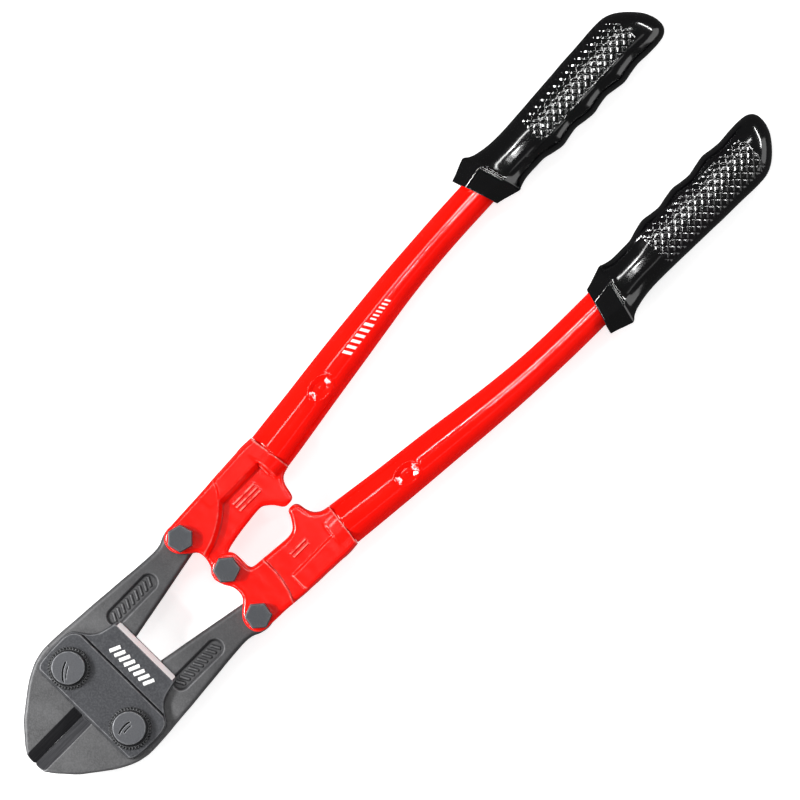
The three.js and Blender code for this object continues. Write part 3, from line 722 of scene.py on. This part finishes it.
# ---- handle heads ----------------------------------------------------------------------------------
R_SIL = curve([
    (-0.61, 77.35), (4.09, 78.76), (7.85, 80.84), (11.61, 81.31), (14.43, 80.60), (16.78, 78.49), (19.13, 75.67), (21.95, 73.32),
    (25.64, 72.38), (29.0, 72.9), (31.4, 74.6), (32.6, 77.2), (32.9, 81.0), (33.05, 86.0), (33.3, 91.65), (33.75, 96.4), (34.3, 101.0),
    (34.8, 110.0), (35.1, 118.0), (35.5, 126.0), (35.7, 132.0), (35.3, 135.6)], 3)
R_SIL = np.concatenate([R_SIL, [(35.3, 141.0), (13.4, 141.0)], curve([
    (13.4, 139.4), (12.2, 135.6), (9.8, 132.7), (6.44, 131.2), (2.9, 130.6), (1.1, 129.3), (0.6, 127.4), (0.7, 125.6), (1.6, 124.3),
    (3.9, 123.3), (6.6, 121.6), (8.7, 119.6), (9.6, 116.8), (9.6, 113.2), (9.1, 108.0), (8.5, 101.05), (7.9, 95.0), (6.6, 93.3),
    (4.0, 93.0), (-2.0, 92.9), (-5.2, 91.2), (-7.2, 88.0), (-7.4, 84.2), (-6.2, 80.6), (-3.6, 78.1)], 3)])
L_SIL = curve([
    (3.0, 79.0), (6.2, 80.2), (9.6, 81.4), (13.3, 81.5), (15.4, 80.6), (17.2, 78.4), (19.4, 75.9), (21.9, 73.6), (25.3, 72.5), (28.9, 72.9),
    (31.4, 74.6), (32.7, 77.2), (33.1, 81.0), (33.4, 88.0), (33.8, 98.0), (34.2, 106.0), (34.7, 113.0), (35.2, 123.0), (35.5, 131.0), (35.2, 135.6)], 3)
L_SIL = np.concatenate([L_SIL, [(35.2, 141.0), (13.6, 141.0)], curve([
    (13.6, 139.4), (12.6, 136.3), (10.9, 133.9), (8.0, 132.4), (3.6, 131.4), (1.5, 130.2), (0.9, 128.0), (1.0, 125.6), (2.2, 123.9),
    (5.0, 122.0), (7.4, 119.6), (8.9, 117.0), (8.9, 113.0), (8.1, 105.5), (7.2, 99.0), (6.0, 93.2), (4.6, 90.6), (2.0, 90.0)], 3)])
# raised fork block of the left head, its free edge is the wide curved step
L_STEP = np.concatenate([curve([
    (9.6, 78.0), (10.3, 81.5), (11.2, 84.5), (12.6, 89.0), (14.6, 93.5), (17.6, 98.6), (20.8, 102.8), (24.6, 106.6), (29.4, 110.2), (36.0, 112.4)], 4),
    [(45, 112), (45, 60), (9, 60)]])


def ell(X, Z, cx, a, b, p=2.0):
    q = (np.abs((X - cx) / a) ** p + np.abs(Z / b) ** p) ** (1 / p)
    return (q - 1) * min(a, b)


def seam(X, Y):
    return (X - 24.06) * 0.135 + (Y - 138.35) * 0.991


def tang(X, Y, Z, st):
    y = np.clip(Y, 130, 190)
    cx = spline([s[0] for s in st], [s[1] for s in st], y.ravel()).reshape(y.shape).astype(F)
    a = spline([s[0] for s in st], [s[2] for s in st], y.ravel()).reshape(y.shape).astype(F) - 2.1
    b = spline([s[0] for s in st], [s[3] for s in st], y.ravel()).reshape(y.shape).astype(F) - 2.1
    q = np.sqrt(((X - cx) / a) ** 2 + (Z / b) ** 2)
    return smax((q - 1) * 6.5, np.broadcast_to(np.abs(Y - 158) - 28, q.shape), 1.0)


TUBE_R = [
    (138.2, 24.06, 11.00, 9.2), (150.4, 25.57, 10.80, 9.1), (164.5, 27.31, 10.45, 8.9), (178.6, 28.90, 10.20, 8.8),
    (197.4, 30.97, 9.80, 8.7), (216.2, 33.23, 9.25, 8.6), (235.0, 35.23, 8.70, 8.4), (253.8, 36.68, 8.30, 8.2),
    (272.6, 37.46, 8.20, 8.2), (287.6, 37.70, 8.20, 8.2), (330.0, 37.50, 8.20, 8.2), (398.0, 36.90, 8.20, 8.2)]
TUBE_L = [
    (138.2, 24.26, 11.00, 9.2), (150.4, 25.80, 10.80, 9.1), (164.5, 27.64, 10.45, 8.9), (178.6, 29.56, 10.20, 8.8),
    (197.4, 31.98, 9.80, 8.7), (216.2, 34.29, 9.25, 8.6), (235.0, 36.52, 8.70, 8.4), (253.8, 38.16, 8.30, 8.2),
    (272.6, 39.34, 8.20, 8.2), (287.6, 39.95, 8.20, 8.2), (330.0, 41.20, 8.20, 8.2), (398.0, 42.95, 8.20, 8.2)]


def head_common(X, Y, Z, sil, web, st, barx, bara, barp, bar_y):
    x2, y2 = X[:, :, 0], Y[:, :, 0]
    S = poly(sil, x2, y2)[:, :, None]
    az = np.abs(Z)
    end = np.broadcast_to(seam(X, Y), S.shape)
    w = smax(S + az * 0.06, az - web, 2.3)
    # flat-topped outer bar, its inner wall sloping down to the web
    bar = smax(np.maximum(barx - bara - X + (az - 9.3) * 0.62, X - 60), az - 9.3, 0.9)
    bar = smax(bar, bar_y - Y, 1.2)
    bar = smax(bar, S + 0.35 + az * 0.05, 2.0)
    # shoulder of the tube socket, nearly square to the handle
    sock = smax(ell(X, Z, 24.2, 11.55, 9.75, 2.3) + 0 * Y, (X - 24) * -0.13 + 131.2 - Y + (az - 9.0) * 0.25, 1.0)
    return S, az, end, w, bar, sock


def slot_field(X, Y, Z, cx, cy, r, boxes, sgn=1):
    d = np.hypot(X - cx, Y - cy) - r
    for x0, x1, y0, y1 in boxes:
        b = np.maximum(np.maximum(x0 - X, X - x1), np.maximum(y0 - Y, Y - y1))
        d = np.minimum(d, b)
    return np.maximum(d, np.abs(Z) - 5.3)


def marks_field(x2, y2, marks):
    d = None
    for cx, cy, hx, hy, an in marks:
        b = rbox(x2, y2, cx, cy, hx, hy, 0.35, math.radians(an))
        d = b if d is None else np.minimum(d, b)
    return d[:, :, None]


MARKS_L = [(x, 115.6, 0.62, 7.0, 0) for x in (14.9, 17.1, 19.3)]
MARKS_R = [(x, 116.0, 0.6, 5.0, 0) for x in (16.2, 18.4)]


def right_head(X, Y, Z):
    x2, y2 = X[:, :, 0], Y[:, :, 0]
    S, az, end, w, bar, sock = head_common(X, Y, Z, R_SIL, 8.4, TUBE_R, 29.3, 5.0, 2.4, 104.0)
    # plate level with both ears, ended by the thin arc
    arc = (np.hypot(X - 13.5, Y - 56.4) - 44.2)
    fork = smax(S, az - 9.5, 2.4)
    fork = smax(fork, arc + (az - 8.3) * 0.3, 0.5)
    w = np.maximum(w, -(Y - 84))
    out = smin(w, fork, 0.35)
    out = smin(out, bar, 0.5)
    out = smin(out, sock, 0.7)
    out = smax(out, S - 0.25, 0.8)
    mk = marks_field(x2, y2, MARKS_R)
    out = smin(out, smax(mk + (az - 8.3) * 0.4, az - 8.95, 0.35), 0.3)
    out = smax(out, end, 0.7)
    out = smin(out, tang(X, Y, Z, TUBE_R), 0.2)
    out = smax(out, -slot_field(X, Y, Z, TX, TY, 9.45, [(15.9, 42, 60, TY)]), 0.3)
    out = smax(out, -slot_field(X, Y, Z, 0, CY, 9.7, [(-12, 2.2, 60, 100)]), 0.3)
    out = smax(out, 4.3 - np.hypot(X - TX, Y - TY), 0.3)
    out = smax(out, 3.3 - np.hypot(X, Y - CY), 0.3)
    return out + lump(X, Y, Z, 3, 7.0, 0.05)


def left_head(X, Y, Z):
    x2, y2 = X[:, :, 0], Y[:, :, 0]
    S, az, end, w, bar, sock = head_common(X, Y, Z, L_SIL, 5.0, TUBE_L, 30.3, 4.9, 2.6, 100.0)
    step = poly(L_STEP, x2, y2)[:, :, None]
    fork = smax(S, az - 9.5, 2.4)
    fork = smax(fork, step + (az - 5.0) * 0.46 - 0.3, 0.7)
    eye = smax(np.hypot(X, Y - CY) - 7.1, az - 5.0, 0.6)
    w = smin(w, np.broadcast_to(eye, w.shape), 0.6)
    out = smin(w, fork, 0.6)
    out = smin(out, bar, 0.8)
    out = smin(out, sock, 0.9)
    out = smax(out, np.minimum(S, np.hypot(X, Y - CY) - 7.1) - 0.25, 0.6)
    mk = marks_field(x2, y2, MARKS_L)
    out = smin(out, smax(mk + (az - 5.0) * 0.4, az - 5.6, 0.4), 0.3)
    out = smax(out, end, 0.7)
    out = smin(out, tang(X, Y, Z, TUBE_L), 0.2)
    out = smax(out, -slot_field(X, Y, Z, TX, TY, 9.45, [(15.9, 42, 60, TY)]), 0.3)
    # the tongue stays between the other head's ears
    out = smax(out, np.where(np.hypot(X, Y - CY) < 9.6, az - 5.05, -3.0), 0.2)
    out = smax(out, 4.3 - np.hypot(X - TX, Y - TY), 0.3)
    out = smax(out, 5.25 - np.hypot(X, Y - CY), 0.3)
    return out + lump(X, Y, Z, 4, 7.0, 0.04)


for tag, fld, sx, lo in (("right", right_head, 1, -7.6), ("left", left_head, -1, -7.3)):
    m = iso((lo, 72.0, -9.9), (38.0, 186.4, 9.9), 0.33, fld, 0.42)
    if sx < 0:
        m = mirror(m)
    new_object(f"handle_casting_{tag}", *m, body=f"handle_{tag}", mats=[RED_CAST], replaces=[f"handle_head_{tag}"], slot="red_casting")


# ---- handle tubes ----------------------------------------------------------------------------------
def tube_rings(st, ys, grow, seg, sx, dimple=0.0):
    s = np.array(st)
    cx, a, b = (spline(s[:, 0], s[:, k], ys) for k in (1, 2, 3))
    slope = (spline(s[:, 0], s[:, 1], ys + 1) - spline(s[:, 0], s[:, 1], ys - 1)) / 2
    tilt = -np.arctan(slope)
    ph = np.linspace(0, 2 * math.pi, seg, endpoint=False)
    c, w = np.cos(ph)[None], np.sin(ph)[None]
    A, B = ((a + grow) * np.cos(tilt))[:, None], (b + grow)[:, None]
    R = np.stack([cx[:, None] + c * A * np.cos(tilt)[:, None], ys[:, None] + c * A * np.sin(tilt)[:, None], w * B], -1)
    if dimple:
        # staked dimple over the tang: a sharp-lipped oval crater on both flat sides
        dx = (R[:, :, 0] - 28.6) * 0.99 - (R[:, :, 1] - 176.2) * 0.12
        dy = (R[:, :, 1] - 176.2) * 0.99 + (R[:, :, 0] - 28.6) * 0.12
        q = np.sqrt((dx / 4.5) ** 2 + (dy / 6.3) ** 2)
        f = np.clip((1.06 - q) / 0.62, 0, 1)
        f = f * 0.9 + f * f * (3 - 2 * f) * 0.1
        lip = np.exp(-((q - 1.12) / 0.12) ** 2)
        pip = np.exp(-(q / 0.22) ** 2)
        R[:, :, 2] += np.sign(R[:, :, 2]) * (-dimple * f + 0.14 * lip + 0.45 * pip) * (np.abs(w) > 0.3)
    R[:, :, 0] *= sx
    return R


def tube_marks(m):
    """Mask of plain printed bars along the left tube, a generic pattern."""
    p = m.node("ShaderNodeSeparateXYZ", Vector=m.obj()).outputs
    x = m.math("SUBTRACT", m.math("MULTIPLY", p[0], 1000.0), OX)
    y = m.math("SUBTRACT", m.math("MULTIPLY", p[1], 1000.0), OY)
    z = m.math("SUBTRACT", m.math("MULTIPLY", p[2], 1000.0), OZ)
    ca, sa = math.cos(0.122), math.sin(0.122)
    x0, y0 = -33.0, 212.0
    xs, ys_ = m.math("SUBTRACT", x, x0), m.math("SUBTRACT", y, y0)
    u = m.math("ADD", m.math("MULTIPLY", xs, ca), m.math("MULTIPLY", ys_, sa))      # across
    v = m.math("SUBTRACT", m.math("MULTIPLY", ys_, ca), m.math("MULTIPLY", xs, sa))  # along
    out = None
    for c, h, half in [(-15.0 + 3.3 * i, 0.85, 2.1) for i in range(6)] + [(4.9 + 2.2 * i, 0.5, 1.35) for i in range(6)]:
        vv = m.math("ABSOLUTE", m.math("SUBTRACT", m.math("SUBTRACT", v, c), m.math("MULTIPLY", u, 0.42)))
        a = m.math("SUBTRACT", h, vv)
        b = m.math("SUBTRACT", half, m.math("ABSOLUTE", u))
        k = m.math("MULTIPLY", m.math("MINIMUM", a, b), 9.0, clamp=True)
        out = k if out is None else m.math("MAXIMUM", out, k)
    top = m.math("MULTIPLY", z, 5.0, clamp=True)
    worn = m.ramp(m.noise(1300, 4, 0.7), (0.30, 0.72), (0.42, 1.0))
    return m.math("MULTIPLY", m.math("MULTIPLY", out, top), worn)


RED_MARKED = red_tube(tube_marks)
seg = 128
for tag, st, sx in (("right", TUBE_R, 1), ("left", TUBE_L, -1)):
    ys = np.unique(np.concatenate([np.linspace(138.45, 300, 170), np.linspace(168, 185, 56), np.linspace(300, 397.6, 20)]))
    ys = ys[np.concatenate([[True], np.diff(ys) > 0.05])]
    outer = tube_rings(st, ys, 0, seg, sx, 2.05)
    y1, y2_ = ys[0], ys[-1]
    inner = tube_rings(st, ys[::-1], -1.8, seg, sx, 0)
    lip0 = tube_rings(st, np.array([y1 - 0.02]), -0.35, seg, sx)
    lip1 = tube_rings(st, np.array([y2_ + 0.12]), -0.35, seg, sx)
    loop = np.concatenate([lip0, outer, lip1, inner, lip0])
    co, f = skin(loop[:-1], False, False)
    n = len(loop) - 1
    for a in range(seg):
        b = (a + 1) % seg
        f.append([(n - 1) * seg + a, (n - 1) * seg + b, b, a])
    f = outward(co, f)
    ob = new_object(f"handle_tube_shell_{tag}", co, f, body=f"handle_{tag}", mats=[RED_MARKED if sx < 0 else RED_TUBE], replaces=[f"handle_tube_{tag}"], slot="red_tube")
    ob.visible_glossy = False

# ---- grips -----------------------------------------------------------------------------------------
# rings from the mouth to the end: centre x, centre y, tilt, half width, half thickness, facets (1 = eight-sided)
GR = np.array([
    (39.34, 293.98, -16.7, 12.27, 11.2, 0.85), (39.40, 297.5, -15.6, 13.35, 12.2, 1.0), (39.46, 301.5, -14.4, 14.80, 13.1, 1.0),
    (39.46, 305.0, -13.6, 16.00, 13.85, 1.0), (39.28, 305.9, -13.4, 15.85, 13.8, 0.95), (38.85, 307.2, -12.8, 14.75, 13.0, 0.7),
    (38.50, 309.3, -12.0, 13.55, 12.3, 0.35), (38.25, 312.6, -9.5, 12.45, 11.8, 0.1), (37.95, 317.0, -6.6, 11.75, 11.6, 0), (37.75, 321.5, -4.4, 11.55, 11.6, 0),
    (37.65, 327.59, -1.0, 11.57, 11.84, 0), (36.95, 333.6, 0, 12.43, 12.4, 0), (36.54, 338.40, 0, 12.95, 12.7, 0), (36.95, 343.5, 0, 12.72, 12.6, 0),
    (37.29, 348.27, 0, 12.53, 12.5, 0), (36.9, 354.0, 0, 13.10, 12.8, 0), (36.64, 359.55, 0, 13.51, 12.9, 0), (37.15, 364.6, 0, 13.25, 12.8, 0), (37.39, 368.95, 0, 13.09, 12.7, 0),
    (36.95, 374.5, 0, 13.60, 12.9, 0), (36.59, 379.76, 0, 14.10, 13.1, 0), (37.05, 385.0, -0.5, 13.85, 13.0, 0), (37.30, 389.86, -1.0, 13.63, 12.9, 0),
    (36.71, 396.44, -3.4, 13.55, 12.7, 0), (35.46, 402.3, -7.6, 12.45, 11.9, 0), (34.17, 406.4, -10.3, 10.51, 10.3, 0),
    (33.3, 409.2, -11.5, 7.9, 8.0, 0), (32.7, 411.0, -11.0, 4.9, 5.2, 0), (32.3, 411.85, -10.0, 1.6, 1.8, 0)])


def grip_surface(sx, seg, rows):
    t = np.concatenate([[0], np.cumsum(np.hypot(np.diff(GR[:, 1]), np.diff(GR[:, 3])))])
    tt = np.unique(np.concatenate([np.linspace(0, t[-1], rows), t[:7]]))
    g = [spline(t, GR[:, k], tt) for k in range(6)]
    # crisp ridge and straight collar
    for k in (0, 1, 2, 3, 4):
        lin = np.interp(tt, t, GR[:, k])
        g[k] = np.where(tt < t[4], lin, g[k])
    cx, cy, tilt, a, b, fac = g
    cy = cy.copy()
    if sx < 0:
        cx = cx + 2.4 + (cy - 300) * 0.0360
        cy = cy - 1.2
        tilt = tilt - 2.0
    tl = np.radians(tilt)
    ph = np.linspace(0, 2 * math.pi, seg, endpoint=False) + math.pi / seg
    ph = ph + 0.2 * np.sin(2 * ph)  # closer columns over the broad faces
    c, s = np.cos(ph)[None], np.sin(ph)[None]
    # section: soft superellipse, eight-sided on the collar
    p = 2.25
    rr = (np.abs(c) ** p + np.abs(s) ** p) ** (-1 / p)
    aa = np.mod(ph + math.pi / 8, math.pi / 4) - math.pi / 8
    oct_ = (math.cos(math.pi / 8) / np.cos(aa))[None] * 1.04
    oct_ = np.minimum(oct_, 1.045)
    fc = np.clip(fac, 0, 1)[:, None]
    rad = rr * (1 - fc) + oct_ * fc
    u, w = c * rad, s * rad
    R = np.stack([cx[:, None] + u * (a * np.cos(tl))[:, None], cy[:, None] + u * (a * np.sin(tl))[:, None], w * b[:, None]], -1)
    return R, tt, t, (cx, cy, tl, a, b, u, w)


def grip_relief(R, sx, info):
    """Raised panel with a border ridge and staggered diamonds on both broad faces."""
    cx, cy, tl, a, b, u, w = info
    shift = 0.0 if sx > 0 else 2.4 + (R[:, :, 1] - 300) * 0.0360
    x, y = R[:, :, 0] - shift, R[:, :, 1] + (0 if sx > 0 else 1.2)
    # normal of the section
    nx, nz = u / a[:, None], w / b[:, None]
    ln = np.hypot(nx, nz)
    nx, nz = nx / ln, nz / ln
    face = np.clip((np.abs(nz) - 0.12) / 0.25, 0, 1)
    left = (28.6 if sx > 0 else 32.3) + 0.25 * np.sin((y - 300) / 9)
    right = 47.6 if sx > 0 else 51.5
    inside = np.minimum(x - left, right - x)
    panel = np.minimum(inside, np.minimum(y - 332.5, 398.8 - y - np.maximum(0, x - 38) * 0.15))
    pm = np.clip(panel / 1.0, 0, 1)
    pm = pm * pm * (3 - 2 * pm)
    px, py = 4.75, 4.4
    gu, gv = (x - (38.4 if sx > 0 else 41.6)) / px, (y - 365.0) / py

    def dia(p_, q_):
        m_ = np.abs(p_ - np.round(p_)) + np.abs(q_ - np.round(q_))
        return m_

    m1 = np.minimum(dia(gu, gv), dia(gu + 0.5, gv + 0.5))
    h = np.clip((0.5 - m1) / 0.20, 0, 1)
    ridge = np.exp(-((x - left + 0.3) / 0.45) ** 2) * np.clip((y - 322) / 6, 0, 1) * np.clip((392 - y) / 8, 0, 1)
    disp = face * (0.60 * h * pm - 0.25 * pm + 0.40 * ridge)
    R[:, :, 0] += nx * disp
    R[:, :, 2] += nz * disp
    return R


seg = 252
rows = 372
for tag, sx in (("right", 1), ("left", -1)):
    st = TUBE_R if sx > 0 else TUBE_L
    R, tt, t, info = grip_surface(sx, seg, rows)
    R = grip_relief(R, sx, info)
    if sx < 0:
        R[:, :, 0] *= -1
    # mouth: rounded rim turning in to the bore, bore down to its floor
    first = R[0]
    mid = first.mean(0)
    bore_y = [294.6, 297.0, 320.0, 360.0, 398.4]
    bore = tube_rings(st, np.array(bore_y), 0.3, 120, sx)
    ang = np.arctan2(first[:, 2], (first[:, 0] - mid[0]) * sx)
    bg = []
    s_ = np.array(st)
    for y in bore_y:
        cxx, aa_, bb_ = (float(spline(s_[:, 0], s_[:, k], y)) for k in (1, 2, 3))
        sl = float(spline(s_[:, 0], s_[:, 1], y + 1) - spline(s_[:, 0], s_[:, 1], y - 1)) / 2
        til = -16.7 if y < 296 else math.degrees(-math.atan(sl))
        tr = math.radians(til if sx > 0 else til)
        rad_x = (aa_ + 0.3)
        bg.append(np.stack([(cxx + np.cos(ang) * rad_x) * sx, y + np.cos(ang) * rad_x * math.tan(tr) * 1.0, np.sin(ang) * (bb_ + 0.3)], -1))
    bg = np.array(bg)
    rim = []
    inner = bg[0]
    for k in (0.12, 0.5, 0.88):
        q = first * (1 - k) + inner * k
        q[:, 1] -= 0.35 * math.sin(math.pi * k) ** 0.5
        rim.append(q)
    rim = np.array(rim)
    allr = np.concatenate([bg[::-1], rim[::-1], R])
    co, f = skin(allr, True, True)
    f = outward(co, f)
    ob = new_object(f"grip_sleeve_{tag}", co, f, body=f"handle_{tag}", mats=[VINYL], replaces=[f"grip_{tag}"], slot="grip_vinyl")

# ---- floor, light, camera --------------------------------------------------------------------------
bm = bmesh.new()
bmesh.ops.create_grid(bm, x_segments=8, y_segments=8, size=30.0)
fm = bpy.data.meshes.new("floor")
bm.to_mesh(fm)
bm.free()
floor = bpy.data.objects.new("floor", fm)
bpy.context.scene.collection.objects.link(floor)
fmat = Mat("pale_floor", Roughness=0.9)
fmat.set("Base Color", fmat.ramp(fmat.noise(3.0, 2, 0.5), (0.3, (0.55, 0.55, 0.55)), (0.7, (0.57, 0.57, 0.57))))
fmat.b.inputs["Emission Color"].default_value = (1, 1, 1, 1)
fmat.b.inputs["Emission Strength"].default_value = 0.74
fm.materials.append(fmat.m)
floor.location.z = -0.0006
floor.visible_glossy = False

TOOL = lambda x, y, z=0.0: Vector(((x + OX) / 1000, (y + OY) / 1000, (z + OZ) / 1000))
CENTRE = TOOL(2.0, 198.6, 0.0)
CAM_ROT = math.radians(44.62)
IR = Vector((math.cos(CAM_ROT), math.sin(CAM_ROT), 0))   # image right in the floor plane
IU = Vector((-math.sin(CAM_ROT), math.cos(CAM_ROT), 0))  # image up

cam_d = bpy.data.cameras.new("camera")
cam_d.lens, cam_d.sensor_width = 500, 36
DIST = 0.376 * 500 / 36
cam_d.clip_end = 100
cam = bpy.data.objects.new("camera", cam_d)
bpy.context.scene.collection.objects.link(cam)
cam.location = CENTRE + Vector((0, 0, DIST))
cam.rotation_euler = (0, 0, CAM_ROT)
bpy.context.scene.camera = cam


def area(name, at_, size_x, size_y, radiance, col=(1, 1, 1), target=CENTRE):
    """Soft box at an offset from the target, given by what it radiates."""
    ld = bpy.data.lights.new(name, "AREA")
    ld.shape = "RECTANGLE"
    ld.size, ld.size_y = size_x, size_y
    ld.energy, ld.color = radiance * math.pi * size_x * size_y, col
    o = bpy.data.objects.new(name, ld)
    bpy.context.scene.collection.objects.link(o)
    o.location = target + at_
    o.rotation_euler = (-at_).to_track_quat("-Z", "Y").to_euler()
    return o


area("key_left", -IR * 1.15 + IU * 0.05 + Vector((0, 0, 0.80)), 0.60, 0.22, 66)
area("main_over_grips", Vector((-0.46, 0.212, 1.25)), 1.0, 0.10, 11)
area("fill_over_grips", Vector((0.8, 0.25, 1.25)), 1.0, 0.12, 0.6)
area("strip_over_necks", Vector((0.0, 0.150, 1.5)), 0.40, 0.056, 10)
area("line_a", Vector((-0.55, 0.108, 1.5)), 0.06, 0.05, 80)
area("line_b", Vector((-0.10, 0.108, 1.5)), 0.05, 0.05, 80)
area("rim_handles_side", Vector((0.10, 1.15, 0.80)), 1.1, 0.05, 40)
area("front", Vector((-0.10, -1.15, 0.80)), 1.1, 0.06, 34)
area("low_right", IR * 1.35 - IU * 0.1 + Vector((0, 0, 0.30)), 1.4, 0.8, 1.0)

world = bpy.data.worlds.new("studio")
bpy.context.scene.world = world
world.use_nodes = True
wt = world.node_tree
bg_ = wt.nodes["Background"]
bg_.inputs[0].default_value = (1, 1, 1, 1)
bg_.inputs[1].default_value = 0.06
seen = wt.nodes.new("ShaderNodeBackground")   # what the camera sees past the floor
seen.inputs[0].default_value = (1, 1, 1, 1)
seen.inputs[1].default_value = 1.0
path, mixw = wt.nodes.new("ShaderNodeLightPath"), wt.nodes.new("ShaderNodeMixShader")
wt.links.new(path.outputs["Is Camera Ray"], mixw.inputs[0])
wt.links.new(bg_.outputs[0], mixw.inputs[1])
wt.links.new(seen.outputs[0], mixw.inputs[2])
wt.links.new(mixw.outputs[0], wt.nodes["World Output"].inputs[0])
vs = bpy.context.scene.view_settings
vs.view_transform = "Standard"
vs.look = "None"
vs.exposure = 0.0
